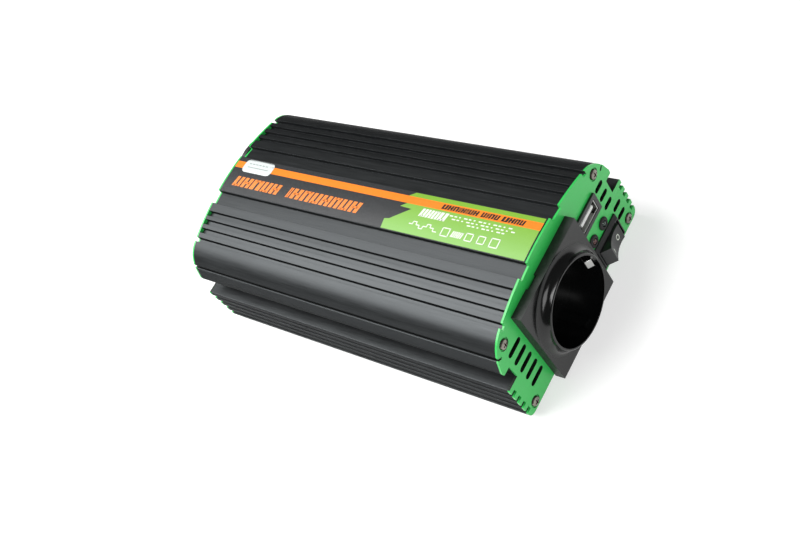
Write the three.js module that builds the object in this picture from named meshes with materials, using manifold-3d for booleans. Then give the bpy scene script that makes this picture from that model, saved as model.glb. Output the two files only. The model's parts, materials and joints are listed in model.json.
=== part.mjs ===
// A small power inverter: 12 V DC goes in at the rear, mains AC and USB power come out at the front.
// Millimetres, +Z up, X across the object. The outlet end faces -Y, and z = 0 is what it stands on.
// Everything is built with y = 0 on the front plate's outer face and z = 0 on the housing's base,
// and the last lines move the whole group so that its origin is under the middle of the object.

import * as THREE from 'three';
import { mergeVertices } from 'three/addons/utils/BufferGeometryUtils.js';
import Module from 'manifold-3d';

const wasm = await Module();
wasm.setup();

// ---- Driving sizes -----------------------------------------------------------------------------

const LENGTH = 192; // over the two end plates
const HALF_WIDTH = 54.5; // middle to the tips of the base fins
const HEIGHT = 57; // base to the crown of the roof
const PLATE = 1; // end plate thickness
const FOOT_HEIGHT = 2;
const FIT = 0.3; // clearance round a piece that passes through a cut-out
const SEAT = 0.05; // gap between faces that rest on each other
const OVER = 1; // how far a cutter runs past the face it cuts

// Roof of the upper housing
const DOME_RADIUS = 137;
const LAND = 11; // half width of the raised strip along the crown
const CHANNEL_END = 18.2; // the channel beside the strip runs out to here
const CHANNEL_DEPTH = 2.3;
const ROOF_WALL = 1.9; // metal under the channel
const ROOF_HOLLOW = [1.5, 3]; // the hollow's curve starts here, in from the shoulder and up from the seam
const FIN_PITCH = 4.65;
const FIN_GROOVE = 2.6;
const FIN_DEPTH = 2.1;
const FIN_GROOVES = 3; // on each slope, besides the groove beside the shoulder
const SHOULDER_GROOVE = 2.2;
const SHOULDER_DEPTH = 2.3;
const SHOULDER = HALF_WIDTH - 15.3; // where the rounded shoulder starts
const SHOULDER_STEPS = 8;
const SHOULDER_BULGE = [6, 1.6]; // control point of the rounded shoulder, out and down from its start
const SHOULDER_FOOT = [1.7, 2.5]; // where it ends, out from the waist and up from the seam
const SEAM = HEIGHT - 15.9; // height of the ledge where the two housings meet
const SLIT_DEPTH = 0.25; // the seam shows as a thin slit, this much behind the waist
const SLIT_MOUTH = [1.75, 1.6]; // its upper edge, out from the waist and up from the seam
const SLIT_CHAMFER = 0.5;

// Sides and base of the lower housing
const WAIST = HALF_WIDTH - 7.5; // bottom of the square notch along each side
const SIDE_WALL = 2.8;
const SKIRT = HALF_WIDTH - 2.9;
const SKIRT_DROP = 7.6; // from the seam down to the skirt's lip
const SKIRT_NOSE = [2.1, 2.7, 0.6]; // its rounded top edge: from, to, and above the seam
const SKIRT_ROUND = [0.8, 3.1, 5.6]; // inset of the round, and where it starts and ends below the seam
const LIP_ROUND = 0.6;
const BASE_TOP = 25;
const BASE_WALL = 3.2; // side wall inside the base fins
const SIDE_FIN = 2.7;
const SIDE_GROOVE = 2.4;
const SIDE_PITCH = 5.1;
const SIDE_GROOVES = 4;
const FIN_ROUND = 0.4; // on the topmost base fin
const BASE_CORNER = 3.6;
const FLOOR = 2.6;
const SHELF = 8; // height of the ledge that carries the main board
const SHELF_WIDTH = 5;

// Plate screws
const SCREW_HEAD = 2.5;
const SCREW_SINK = 0.5; // depth of the counterbore in the end plates
const COUNTERBORE = 3.05;
const SCREW_HEAD_HEIGHT = 1.5;
const CROSS = { reach: 1.3, half: 0.3, depth: 0.9 }; // the cross recess
const SCREW_SHANK = 1.4;
const BORE_FIT = 0.1; // round a shank in its own bore, and round other pieces held tight
const SCREW_LENGTH = 11;
const BOSS_WALL = 1.7;
const TOP_SCREW = [HALF_WIDTH - 12, HEIGHT - 12.7];
const BASE_SCREW = [HALF_WIDTH - 6.6, 3.7];

// Slots in the end plates, in rows one pitch apart. inset is from the half width, and top is the highest row.
const VENT_PITCH = 6.2;
const NEAR_VENTS = { side: -1, inset: 14.9, top: 36.5, rows: 5, half: 5, radius: 1.4 };
const FAR_VENTS = { side: 1, inset: 12.8, top: 36.5, rows: 3, half: 3.4, radius: 1.35 };
const LOW_VENTS = { side: 1, inset: 8.9, top: 17, rows: 2, half: 3.4, radius: 1.35 };
const REAR_VENTS = { side: -1, inset: 14.9, top: 39.5, rows: 3, half: 5, radius: 1.4 };

// Mains socket
const RECESS_RADIUS = 20;
const RECESS_DEPTH = 17.5;
const RIM = 1; // rim round the recess
const FLANK = 4.1; // how far the collar's hollow flank spreads between its rim and the plate
const SOCKET_PLATE = 4.9;
const COLLAR = 4.6; // collar height above the socket plate
const SOCKET_DROP = 1.4; // how far the socket plate hangs below the housing's base
const SOCKET_X = -7.4;
const RIM_STEP = 0.2; // draft of the collar's foot
const COLLAR_ROUND = [0.4, 0.3]; // rounded edge of the rim, in and down
const CUP_WALL = 1.5;
const CUP_FLOOR = 2.4;
const PIN_SPACING = 19;
const PIN_HOLE = 2.7;
const KEY_RIB = { half: 2.1, height: 2.2, set: 3 }; // plug guides at the top and bottom of the recess
const EARTH_STRIP = 0.8;
const EARTH_WIDTH = 5;
const EARTH_INSET = 0.6; // from the recess wall
const EARTH_BULGE = 2.2; // how far each clip bows into the recess
const EARTH_BOW = { at: -4.3, foot: 3 }; // where it bows in furthest, and where it is straight again
const EARTH_SLOT = { inner: 1.9, outer: 0.9, set: 2.2 };
const CONTACT = { outer: 3.4, inner: 2.45, length: 9, tag: 13, tagHalf: [1.5, 0.4] };
const PRY_NOTCH = { width: 7, height: 1.5, depth: 1.4, offset: -7.8 }; // in the top edge of the socket plate

// USB outlet, lights and switch
const USB = { x: 27.5, z: 34, halfX: 9.4, halfZ: 5.3, mouthX: 7.3, mouthZ: 3.3, proud: 1.2, depth: 11 };
const USB_SLEEVE = 1; // plastic round the metal shell
const USB_CORNER = 0.6;
const USB_WALL = 0.5;
const USB_SHELL_SET = 0.3; // the shell's rim, behind the bezel's face
const USB_TONGUE = { raise: 0.7, halfX: 5.4, halfZ: 0.9, set: 0.7 };
const LIGHTS = { power: [33.3, 20.7], fault: [23.7, 20.7] };
const LIGHT_RING = 3.15;
const LIGHT_LENS = 1.5;
const LIGHT_SLEEVE = LIGHT_LENS + 1;
const LIGHT_PROUD = [1.1, 0.6]; // inner and outer height of the ring
const LIGHT_REACH = 2.5; // behind the plate
const LENS_REACH = 5;
const SWITCH = { x: 30.8, z: 9.5, halfX: 10.5, halfZ: 7.5, bodyX: 9.9, bodyZ: 6.5, proud: 1.9, depth: 13 };
const SWITCH_LIP = 0.8; // straight outer edge of the bezel, before it slopes up to the rocker
const SWITCH_RIM = 0.5; // width of the bezel's top
const SWITCH_BACK = 3; // the can behind the rocker's well
const SWITCH_TAB = { offset: 5, halfX: 0.4, halfZ: 2.4, length: 8 };
const ROCKER_FIT = 0.2;
const ROCKER_RADIUS = 9.1;
const ROCKER_HALF = 5;
const ROCKER_FACE = 3; // from the pivot out to the middle of the hollow face
const ROCKER_CORNER = [6.4, 4.25]; // from the pivot, across and out
const ROCKER_ENDS = [2, 25]; // degrees of arc on each rounded end
const ROCKER_BACK = [[3.2, 5.4], [0.001, 6]]; // its keel behind the pivot
const ROCKER_TILT = THREE.MathUtils.degToRad(12); // to each side of its middle position
const PIVOT_RADIUS = 1.2;
const PIVOT_END = 0.8; // how far the pivot reaches past the rocker's sides
const PIVOT_DEPTH = -0.5; // the pivot lies this far from the plate's outer face

// Rear end: fan and input terminals
const FAN = { x: 16, half: 17.5, depth: 10, bore: 15.6, hub: 7.5, spacing: 14.5, corner: 2.5, hole: 1.7 };
const FAN_ARM = { width: 2.4, thick: 1.5, turn: 0.4 }; // three arms carry the motor plate
const FAN_SHAFT = { radius: 1, length: 6 };
const TIP_GAP = 0.6; // between the blades and the duct, and behind the rotor
const BLADES = { count: 7, root: 1, thick: 1, chord: 8.2, pitch: 0.75 };
const GUARD_RINGS = [[23.4, 21], [15, 13.6], [9.4, 8]]; // outer and inner radius of each ring
const GUARD_THICK = 2.6;
const GUARD_SPOKE = { width: 1.6, set: 0.6 };
const GUARD_HUB = 4;
const GUARD_LUG = 3.4;
const FAN_SCREW_LENGTH = 14;
const TERMINALS = { positive: -36, negative: -14 };
const TERMINAL_Z = 16;
const STUD_RADIUS = 3; // M6
const STUD_REACH = 13; // past the rear plate
const TERMINAL_BASE = 4;
const TERMINAL_RADIUS = 8;
const NECK_WALL = 1.6;
const NECK_REACH = 3; // behind the rear plate
const STUD_TAIL = 8;
const STUD_NUT = { radius: 5, thick: 4 };
const WASHER = 1.2;
const KNOB = { radius: 7, length: 9.5, flutes: 12, flute: 0.4, cap: 1.2 };

// Inside
const BOARD = 1.6;
const FRONT_BOARD = { x: [17, 41], z: [17.5, 27] };
const BOARD_FRONT = 30;
const BOARD_REAR_GAP = 27;
const BOARD_SIDE_GAP = 0.5;
const CORE = { halfX: 21, halfY: 7.5, height: 34, yoke: 6, leg: 6, window: 9, offset: -10 };
const WINDING_BULGE = { out: 8, corner: 3 }; // how far the coil stands out past the core
const TRANSISTOR = { width: 10, height: 15.5, thick: 4.4, lead: 0.8, pitch: 2.54, apart: 44, drop: 1 };
const CLAMP = { thick: 3, height: 8, overhang: 12, up: 2 };
const INPUT_CAPACITOR = { places: { left: -30, right: -8 }, radius: 8, height: 24 };
const BUS_CAPACITOR = { x: -6, back: 14, radius: 9, height: 28 };
const CAPACITOR_SCORE = { share: 0.6, half: 0.3, depth: 0.5 }; // the vent line in the top of each can
const REAR_ROW = 12; // from the board's rear edge to the middle of the capacitors and the fuse
const FUSE_BODY = { x: 24, half: [9.5, 2.5], low: 6, high: 18 };
const FUSE_BLADE = { offset: 6.5, half: [2.5, 0.4] };

// Label, badge and feet
const LABEL = { left: LAND - 0.2, right: LAND - 0.5, front: 0.15, rear: 0.5, thick: 0.25 };
const BADGE = { x: [2.1, 9.9], fromRear: [28.8, 7.7], thick: 0.2 };
const FOOT = { inset: 17, end: 18, radius: 5 };

// ---- Materials ---------------------------------------------------------------------------------

const finish = (color, roughness, metalness) => ({ color, roughness, metalness });
const ANODISED = finish('#26282a', 0.45, 0.85);
const GREEN_PAINT = finish('#3fb85a', 0.45, 0.1);
const BLACK_PLASTIC = finish('#17181a', 0.4, 0);
const ROCKER_PLASTIC = finish('#1d1e20', 0.3, 0);
const LABEL_PRINT = finish('#2a2c2e', 0.35, 0);
const STICKER = finish('#e8eceb', 0.4, 0);
const STEEL = finish('#b9bcbf', 0.3, 1);
const BRASS = finish('#c9a650', 0.3, 1);
const RED_PLASTIC = finish('#b3201b', 0.4, 0);
const RUBBER = finish('#141414', 0.8, 0);
const BOARD_GREEN = finish('#1c5a34', 0.5, 0.1);
const FERRITE = finish('#3a3b3d', 0.7, 0.1);
const WINDING = finish('#b06a35', 0.4, 0.5);
const GREEN_LENS = finish('#a8e0a0', 0.15, 0);
const RED_LENS = finish('#d88a84', 0.15, 0);
const CAPACITOR = finish('#20304a', 0.35, 0.1);
const FUSE = finish('#c46a2a', 0.3, 0);

// ---- Shape helpers -----------------------------------------------------------------------------

const inverter = new THREE.Group();

function solidOf(geometry) {
  const bare = geometry.index ? geometry : geometry.clone();
  bare.deleteAttribute('normal');
  bare.deleteAttribute('uv');
  const merged = mergeVertices(bare, 1e-4);
  return new wasm.Manifold(new wasm.Mesh({
    numProp: 3,
    vertProperties: new Float32Array(merged.attributes.position.array),
    triVerts: new Uint32Array(merged.index.array),
  }));
}

function geometryOf(solid) {
  const mesh = solid.getMesh();
  const geometry = new THREE.BufferGeometry();
  geometry.setAttribute('position', new THREE.BufferAttribute(new Float32Array(mesh.vertProperties), 3));
  geometry.setIndex(new THREE.BufferAttribute(new Uint32Array(mesh.triVerts), 1));
  geometry.computeVertexNormals();
  return geometry;
}

function add(name, solid, look) {
  const mesh = new THREE.Mesh(geometryOf(solid), new THREE.MeshStandardMaterial(look));
  mesh.name = name;
  inverter.add(mesh);
}

const join = (solids) => solids.reduce((whole, solid) => whole.add(solid));
const cut = (solid, tools) => tools.reduce((whole, tool) => whole.subtract(tool), solid);

// A box given by its lowest and highest corners.
function block(low, high) {
  const size = high.map((value, i) => value - low[i]);
  const geometry = new THREE.BoxGeometry(...size);
  geometry.translate(...high.map((value, i) => (value + low[i]) / 2));
  return solidOf(geometry);
}

// A block whose -Y face is smaller than its +Y face. Sizes are half widths in X and Z.
function taperedBlock(x, z, wide, narrow, from, to) {
  const geometry = new THREE.BoxGeometry(2 * wide[0], to - from, 2 * wide[1]);
  const places = geometry.attributes.position;
  for (let i = 0; i < places.count; i += 1) {
    if (places.getY(i) < 0) {
      places.setX(i, Math.sign(places.getX(i)) * narrow[0]);
      places.setZ(i, Math.sign(places.getZ(i)) * narrow[1]);
    }
  }
  geometry.translate(x, (from + to) / 2, z);
  return solidOf(geometry);
}

// A rod along Y through (x, z).
function rod(x, z, radius, from, to, segments = 24) {
  const geometry = new THREE.CylinderGeometry(radius, radius, to - from, segments);
  geometry.translate(x, (from + to) / 2, z);
  return solidOf(geometry);
}

// An upright cylinder through (x, y).
function post(x, y, radius, from, to, segments = 24) {
  const geometry = new THREE.CylinderGeometry(radius, radius, to - from, segments);
  geometry.rotateX(Math.PI / 2);
  geometry.translate(x, y, (from + to) / 2);
  return solidOf(geometry);
}

// Outlines are lists of points, one after the other round the edge.
// An outline in X and Z, drawn out along Y.
function alongY(outline, from, to, holes = []) {
  const shape = new THREE.Shape(outline.map(([x, z]) => new THREE.Vector2(x, z)));
  shape.holes = holes.map((hole) => new THREE.Path(hole.map(([x, z]) => new THREE.Vector2(x, z))));
  const geometry = new THREE.ExtrudeGeometry(shape, { depth: to - from, bevelEnabled: false });
  geometry.rotateX(Math.PI / 2);
  geometry.translate(0, to, 0);
  return solidOf(geometry);
}

// An outline in X and Y, drawn out along Z.
function alongZ(outline, from, to) {
  const shape = new THREE.Shape(outline.map(([x, y]) => new THREE.Vector2(x, y)));
  const geometry = new THREE.ExtrudeGeometry(shape, { depth: to - from, bevelEnabled: false });
  geometry.translate(0, 0, from);
  return solidOf(geometry);
}

// A profile of [radius, y] points turned about the Y axis through (x, z).
function turned(profile, x, z, segments) {
  const points = profile.map(([radius, y]) => new THREE.Vector2(radius, y));
  const geometry = new THREE.LatheGeometry(points, segments);
  geometry.translate(x, 0, z);
  return solidOf(geometry);
}

function arc(cx, cz, radius, start, end, steps) {
  const points = [];
  for (let i = 0; i <= steps; i += 1) {
    const angle = THREE.MathUtils.degToRad(start + ((end - start) * i) / steps);
    points.push([cx + radius * Math.cos(angle), cz + radius * Math.sin(angle)]);
  }
  return points;
}

const circle = (cx, cz, radius, steps = 24) => arc(cx, cz, radius, 0, 360, steps).slice(0, -1);

const rectangle = (cx, cz, halfX, halfZ) => [
  [cx - halfX, cz - halfZ],
  [cx + halfX, cz - halfZ],
  [cx + halfX, cz + halfZ],
  [cx - halfX, cz + halfZ],
];

const roundedRectangle = (cx, cz, halfX, halfZ, r, steps = 4) => [
  ...arc(cx + halfX - r, cz + halfZ - r, r, 0, 90, steps),
  ...arc(cx - halfX + r, cz + halfZ - r, r, 90, 180, steps),
  ...arc(cx - halfX + r, cz - halfZ + r, r, 180, 270, steps),
  ...arc(cx + halfX - r, cz - halfZ + r, r, 270, 360, steps),
];

// A slot with round ends, lying across the object.
const slot = (cx, cz, half, r) => [
  ...arc(cx + half - r, cz, r, -90, 90, 4),
  ...arc(cx - half + r, cz, r, 90, 270, 4),
];

const mirrored = (half) => [...half, ...half.map(([x, z]) => [-x, z]).reverse()];
const bothSides = (make) => [make(1), make(-1)];
const span = (a, b) => [Math.min(a, b), Math.max(a, b)];

// ---- Outline of the housings and end plates ----------------------------------------------------

const domeHeight = (x) => HEIGHT - DOME_RADIUS + Math.sqrt(DOME_RADIUS ** 2 - x ** 2);

function domeArc(from, to, drop, steps) {
  const points = [];
  for (let i = 0; i <= steps; i += 1) {
    const x = from + ((to - from) * i) / steps;
    points.push([x, domeHeight(x) - drop]);
  }
  return points;
}

// The right half of the roof, from the crown to the seam. The end plates have no slope grooves.
function roofHalf(withFins) {
  const points = [...domeArc(0.001, LAND, 0, 4), ...domeArc(LAND, CHANNEL_END, CHANNEL_DEPTH, 2)];
  let x = CHANNEL_END;
  for (let k = FIN_GROOVES; withFins && k > 0; k -= 1) {
    const outer = SHOULDER - k * FIN_PITCH;
    const inner = outer - FIN_GROOVE;
    points.push(...domeArc(x, inner, 0, 2), ...domeArc(inner, outer, FIN_DEPTH, 1));
    x = outer;
  }
  const groove = SHOULDER - SHOULDER_GROOVE;
  points.push(...domeArc(x, groove, 0, withFins ? 1 : 4), ...domeArc(groove, SHOULDER, SHOULDER_DEPTH, 1));
  const top = domeHeight(SHOULDER);
  const shoulder = new THREE.QuadraticBezierCurve(
    new THREE.Vector2(SHOULDER, top),
    new THREE.Vector2(SHOULDER + SHOULDER_BULGE[0], top - SHOULDER_BULGE[1]),
    new THREE.Vector2(WAIST + SHOULDER_FOOT[0], SEAM + SHOULDER_FOOT[1]),
  );
  points.push(...shoulder.getPoints(SHOULDER_STEPS).map((point) => [point.x, point.y]));
  points.push([WAIST + SLIT_MOUTH[0], SEAM + SLIT_MOUTH[1]]);
  points.push([WAIST - SLIT_DEPTH, SEAM + SLIT_CHAMFER], [WAIST - SLIT_DEPTH, SEAM]);
  return points;
}

// The right half of the sides and base, from the seam down to the middle of the floor.
function sideHalf() {
  const lip = SEAM - SKIRT_DROP;
  const points = [
    [WAIST - SLIT_DEPTH, SEAM],
    [WAIST + SLIT_DEPTH, SEAM - SLIT_CHAMFER],
    [WAIST + SKIRT_NOSE[0], SEAM + SKIRT_NOSE[2]],
    [WAIST + SKIRT_NOSE[1], SEAM + SKIRT_NOSE[2]],
    [SKIRT - SKIRT_ROUND[0], SEAM - SKIRT_ROUND[1]],
    [SKIRT, SEAM - SKIRT_ROUND[2]],
    [SKIRT - LIP_ROUND / 3, lip + LIP_ROUND / 2],
    [SKIRT - LIP_ROUND, lip],
    [WAIST, lip],
    [WAIST, BASE_TOP],
    [HALF_WIDTH - FIN_ROUND, BASE_TOP],
    [HALF_WIDTH, BASE_TOP - FIN_ROUND],
  ];
  const lowestGroove = BASE_TOP - SIDE_GROOVES * SIDE_PITCH;
  for (let k = SIDE_GROOVES - 1; k >= 0; k -= 1) {
    const low = lowestGroove + k * SIDE_PITCH;
    points.push([HALF_WIDTH, low + SIDE_GROOVE], [HALF_WIDTH - SIDE_FIN, low + SIDE_GROOVE]);
    points.push([HALF_WIDTH - SIDE_FIN, low], [HALF_WIDTH, low]);
  }
  points.push(...arc(HALF_WIDTH - BASE_CORNER, BASE_CORNER, BASE_CORNER, 0, -90, 5), [0.001, 0]);
  return points;
}

const cavityWall = WAIST - SIDE_WALL; // inner face of the side walls above the base
const baseWall = HALF_WIDTH - SIDE_FIN - BASE_WALL; // inner face behind the base fins
const roofDrop = CHANNEL_DEPTH + ROOF_WALL;

function upperHousing() {
  const inner = [
    [cavityWall, SEAM - OVER],
    [cavityWall, SEAM + ROOF_HOLLOW[1]],
    ...domeArc(SHOULDER - ROOF_HOLLOW[0], 0.001, roofDrop, 6),
  ];
  const [x, z] = TOP_SCREW;
  const bosses = bothSides((s) => rod(s * x, z, SCREW_SHANK + BOSS_WALL, PLATE, rearInside));
  const bores = bothSides((s) => rod(s * x, z, SCREW_SHANK + BORE_FIT, 0, LENGTH, 16));
  const outer = alongY(mirrored([...roofHalf(true), [cavityWall - 0.001, SEAM]]), PLATE, rearInside);
  const shell = cut(outer, [alongY(mirrored(inner), 0, LENGTH)]);
  const trimmed = join(bosses).intersect(outer);
  return cut(join([shell, trimmed]), bores);
}

function lowerHousing() {
  const inner = [
    [0.001, FLOOR],
    [baseWall - SHELF_WIDTH, FLOOR],
    [baseWall - SHELF_WIDTH, SHELF],
    [baseWall, SHELF],
    [baseWall, BASE_TOP - SIDE_WALL],
    [cavityWall, BASE_TOP - SIDE_WALL],
    [cavityWall, SEAM + OVER],
  ];
  const outer = alongY(mirrored(sideHalf()), PLATE, rearInside);
  const [x, z] = BASE_SCREW;
  const bores = bothSides((s) => rod(s * x, z, SCREW_SHANK + BORE_FIT, 0, LENGTH, 16));
  const cupRelief = rod(SOCKET_X, socketZ, cupRadius + FIT, 0, cupEnd + FIT, 48);
  return cut(outer, [alongY(mirrored(inner), 0, LENGTH), cupRelief, ...bores]);
}

const rearInside = LENGTH - PLATE;
const plateOutline = () => mirrored([...roofHalf(false), ...sideHalf().slice(1)]);
const screwPlaces = [TOP_SCREW, BASE_SCREW].flatMap(([x, z]) => [[x, z], [-x, z]]);
const screwHoles = () => screwPlaces.map(([x, z]) => circle(x, z, SCREW_SHANK + FIT, 16));

// ---- Front plate -------------------------------------------------------------------------------

const socketHalf = RECESS_RADIUS + RIM + FLANK;
const socketZ = socketHalf - SOCKET_DROP;
const cupRadius = RECESS_RADIUS + CUP_WALL;
const socketReach = SOCKET_PLATE + COLLAR;
const recessFloor = RECESS_DEPTH - socketReach;
const cupEnd = recessFloor + CUP_FLOOR;
const pinZ = (side) => socketZ + (side * PIN_SPACING) / 2;

function vents({ side, inset, top, rows, half, radius }) {
  const x = side * (HALF_WIDTH - inset);
  return Array.from({ length: rows }, (_, i) => slot(x, top - i * VENT_PITCH, half, radius));
}

function frontPlate() {
  const slots = [NEAR_VENTS, FAR_VENTS, LOW_VENTS].flatMap(vents);
  const holes = [
    circle(SOCKET_X, socketZ, cupRadius + FIT, 48),
    usbOutline(USB_SLEEVE + FIT, USB_CORNER + FIT),
    rectangle(SWITCH.x, SWITCH.z, SWITCH.bodyX + BORE_FIT, SWITCH.bodyZ + BORE_FIT),
    ...Object.values(LIGHTS).map(([x, z]) => circle(x, z, LIGHT_SLEEVE + BORE_FIT, 20)),
  ];
  const plate = alongY(plateOutline(), 0, PLATE, [...slots, ...holes, ...screwHoles()]);
  return cut(plate, screwPlaces.map(([x, z]) => rod(x, z, COUNTERBORE, -OVER, SCREW_SINK)));
}

// ---- Rear plate --------------------------------------------------------------------------------

function rearPlate() {
  const holes = [
    circle(FAN.x, fanZ, FAN.bore, 40),
    ...fanScrewPlaces.map(([x, z]) => circle(x, z, SCREW_SHANK + FIT, 16)),
    ...Object.values(TERMINALS).map((x) => circle(x, TERMINAL_Z, neckRadius + FIT, 24)),
  ];
  const plate = alongY(plateOutline(), rearInside, LENGTH, [...vents(REAR_VENTS), ...holes, ...screwHoles()]);
  return cut(plate, screwPlaces.map(([x, z]) => rod(x, z, COUNTERBORE, LENGTH - SCREW_SINK, LENGTH + OVER)));
}

// The fan sits as high as the slope of the roof lets its outer corner go.
const fanZ = domeHeight(FAN.x + FAN.half) - roofDrop - FAN.half - FIT / 2;
const fanScrewPlaces = [[FAN.x - FAN.spacing, fanZ + FAN.spacing], [FAN.x + FAN.spacing, fanZ - FAN.spacing]];

// ---- Screws ------------------------------------------------------------------------------------

// A pan-head screw with a cross recess. It points along +Y from seat, or along -Y when turnedRound.
function screw(x, z, seat, length, turnedRound) {
  const dome = [[0, 1], [0.6, 0.94], [0.88, 0.68], [1, 0.26]]; // shares of the head's radius and height
  const head = dome.map(([out, up]) => [out * SCREW_HEAD, -up * SCREW_HEAD_HEIGHT]);
  const tip = length - SCREW_SHANK;
  const shank = [[SCREW_SHANK, -SEAT], [SCREW_SHANK, tip], [SCREW_SHANK / 3, length], [0, length]];
  const facing = turnedRound ? -1 : 1;
  const ends = [...head, [SCREW_HEAD, -SEAT], ...shank].map(([radius, y]) => [radius, seat + facing * y]);
  const body = turned(turnedRound ? ends.reverse() : ends, x, z, 14);
  const top = seat - facing * SCREW_HEAD_HEIGHT;
  const [low, high] = span(top - facing * OVER, top + facing * CROSS.depth);
  const { reach, half } = CROSS;
  const cross = [block([x - reach, low, z - half], [x + reach, high, z + half]),
    block([x - half, low, z - reach], [x + half, high, z + reach])];
  return cut(body, cross);
}

// ---- Mains socket ------------------------------------------------------------------------------

function socketBody() {
  const foot = socketHalf - RIM_STEP;
  const neck = RECESS_RADIUS + RIM;
  const collar = [[0, -SOCKET_PLATE + 1], [foot, -SOCKET_PLATE + 1], [foot, -SOCKET_PLATE]];
  const steps = 7;
  for (let i = steps - 1; i >= 0; i -= 1) {
    const turn = (i * Math.PI) / (2 * steps);
    const radius = neck + (foot - neck) * (1 - Math.cos(turn));
    collar.push([radius, -socketReach + COLLAR_ROUND[1] + (COLLAR - COLLAR_ROUND[1]) * Math.sin(turn)]);
  }
  collar.push([neck - COLLAR_ROUND[0], -socketReach], [0, -socketReach]);
  const plate = block([SOCKET_X - socketHalf, -SOCKET_PLATE, socketZ - socketHalf],
    [SOCKET_X + socketHalf, -SEAT, socketZ + socketHalf]);
  const notchX = SOCKET_X + PRY_NOTCH.offset;
  const notchTop = socketZ + socketHalf;
  const notch = block([notchX - PRY_NOTCH.width / 2, -PRY_NOTCH.depth, notchTop - PRY_NOTCH.height],
    [notchX + PRY_NOTCH.width / 2, OVER, notchTop + OVER]);
  const raised = turned(collar.reverse(), SOCKET_X, socketZ, 48);
  const cup = rod(SOCKET_X, socketZ, cupRadius, -1, cupEnd, 48);
  const recess = rod(SOCKET_X, socketZ, RECESS_RADIUS, -socketReach - OVER, recessFloor, 48);
  const pins = bothSides((s) => rod(SOCKET_X, pinZ(s), PIN_HOLE, 0, cupEnd + OVER, 20));
  const strapSlots = bothSides((s) => {
    const [inner, outer] = [RECESS_RADIUS - EARTH_SLOT.inner, RECESS_RADIUS + EARTH_SLOT.outer];
    const x = span(SOCKET_X + s * inner, SOCKET_X + s * outer);
    const half = EARTH_WIDTH / 2 + FIT;
    return block([x[0], -socketReach + EARTH_SLOT.set, socketZ - half], [x[1], cupEnd + OVER, socketZ + half]);
  });
  const ribs = bothSides((s) => {
    const z = span(socketZ + s * (RECESS_RADIUS - KEY_RIB.height), socketZ + s * (RECESS_RADIUS + RIM / 3));
    return block([SOCKET_X - KEY_RIB.half, -socketReach + KEY_RIB.set, z[0]],
      [SOCKET_X + KEY_RIB.half, recessFloor + CUP_FLOOR / 2, z[1]]);
  });
  return cut(join([cut(join([plate, raised, cup]), [recess]), ...ribs]), [...pins, ...strapSlots, notch]);
}

// One strip of spring metal: a clip each side of the recess, joined behind the cup.
function earthStrap() {
  const back = cupEnd + FIT;
  const inside = RECESS_RADIUS - EARTH_INSET;
  const outside = inside + EARTH_STRIP;
  const front = -socketReach + EARTH_SLOT.set + 1;
  const half = [
    [outside, back + EARTH_STRIP],
    [outside, EARTH_BOW.at + EARTH_BOW.foot],
    [outside - EARTH_BULGE, EARTH_BOW.at],
    [outside, front],
    [inside, front - 0.2],
    [inside - EARTH_BULGE, EARTH_BOW.at],
    [inside, EARTH_BOW.at + EARTH_BOW.foot],
    [inside, back],
  ];
  const placed = mirrored(half).map(([x, y]) => [x + SOCKET_X, y]);
  return alongZ(placed, socketZ - EARTH_WIDTH / 2, socketZ + EARTH_WIDTH / 2);
}

// A sprung tube behind a pin hole, with a solder tag.
function socketContact(side) {
  const z = pinZ(side);
  const front = cupEnd + FIT;
  const end = front + CONTACT.length;
  const [tagX, tagZ] = CONTACT.tagHalf;
  const tube = rod(SOCKET_X, z, CONTACT.outer, front, end);
  const tag = block([SOCKET_X - tagX, end - 2, z - tagZ], [SOCKET_X + tagX, front + CONTACT.tag, z + tagZ]);
  return join([tube, tag]).subtract(rod(SOCKET_X, z, CONTACT.inner, front - OVER, end - 1, 20));
}

// ---- USB outlet --------------------------------------------------------------------------------

const usbOutline = (out, corner) => roundedRectangle(USB.x, USB.z, USB.mouthX + out, USB.mouthZ + out, corner);

function usbBezel() {
  const rim = alongY(roundedRectangle(USB.x, USB.z, USB.halfX, USB.halfZ, USB_CORNER), -USB.proud, -SEAT);
  const sleeve = alongY(usbOutline(USB_SLEEVE, USB_CORNER), -USB.proud / 2, USB.depth - 3);
  const mouth = alongY(rectangle(USB.x, USB.z, USB.mouthX, USB.mouthZ), -USB.proud - OVER, USB.depth);
  return join([rim, sleeve]).subtract(mouth);
}

function usbShell() {
  const [halfX, halfZ] = [USB.mouthX - SEAT, USB.mouthZ - SEAT];
  const outer = alongY(rectangle(USB.x, USB.z, halfX, halfZ), -USB.proud + USB_SHELL_SET, USB.depth);
  const inner = rectangle(USB.x, USB.z, halfX - USB_WALL, halfZ - USB_WALL);
  return outer.subtract(alongY(inner, -USB.proud - OVER, USB.depth - USB_WALL));
}

function usbTongue() {
  const { raise, halfX, halfZ, set } = USB_TONGUE;
  return alongY(rectangle(USB.x, USB.z + raise, halfX, halfZ), -USB.proud + set, USB.depth - USB_WALL - SEAT);
}

// ---- Lights ------------------------------------------------------------------------------------

function lightRing([x, z]) {
  const hole = LIGHT_LENS + BORE_FIT;
  const [inner, outer] = LIGHT_PROUD;
  const end = PLATE + LIGHT_REACH;
  const profile = [
    [hole, -inner], [LIGHT_RING - 0.5, -inner], [LIGHT_RING, -outer], [LIGHT_RING, -SEAT],
    [LIGHT_SLEEVE, -SEAT], [LIGHT_SLEEVE, end], [hole, end], [hole, -inner],
  ];
  return turned(profile, x, z, 18);
}

function lightLens([x, z]) {
  const profile = [[0, -LIGHT_LENS]];
  for (let i = 1; i <= 4; i += 1) {
    const turn = (i * Math.PI) / 8;
    profile.push([LIGHT_LENS * Math.sin(turn), -LIGHT_LENS * Math.cos(turn)]);
  }
  profile.push([LIGHT_LENS, PLATE + LENS_REACH], [0, PLATE + LENS_REACH]);
  return turned(profile, x, z, 16);
}

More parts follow.
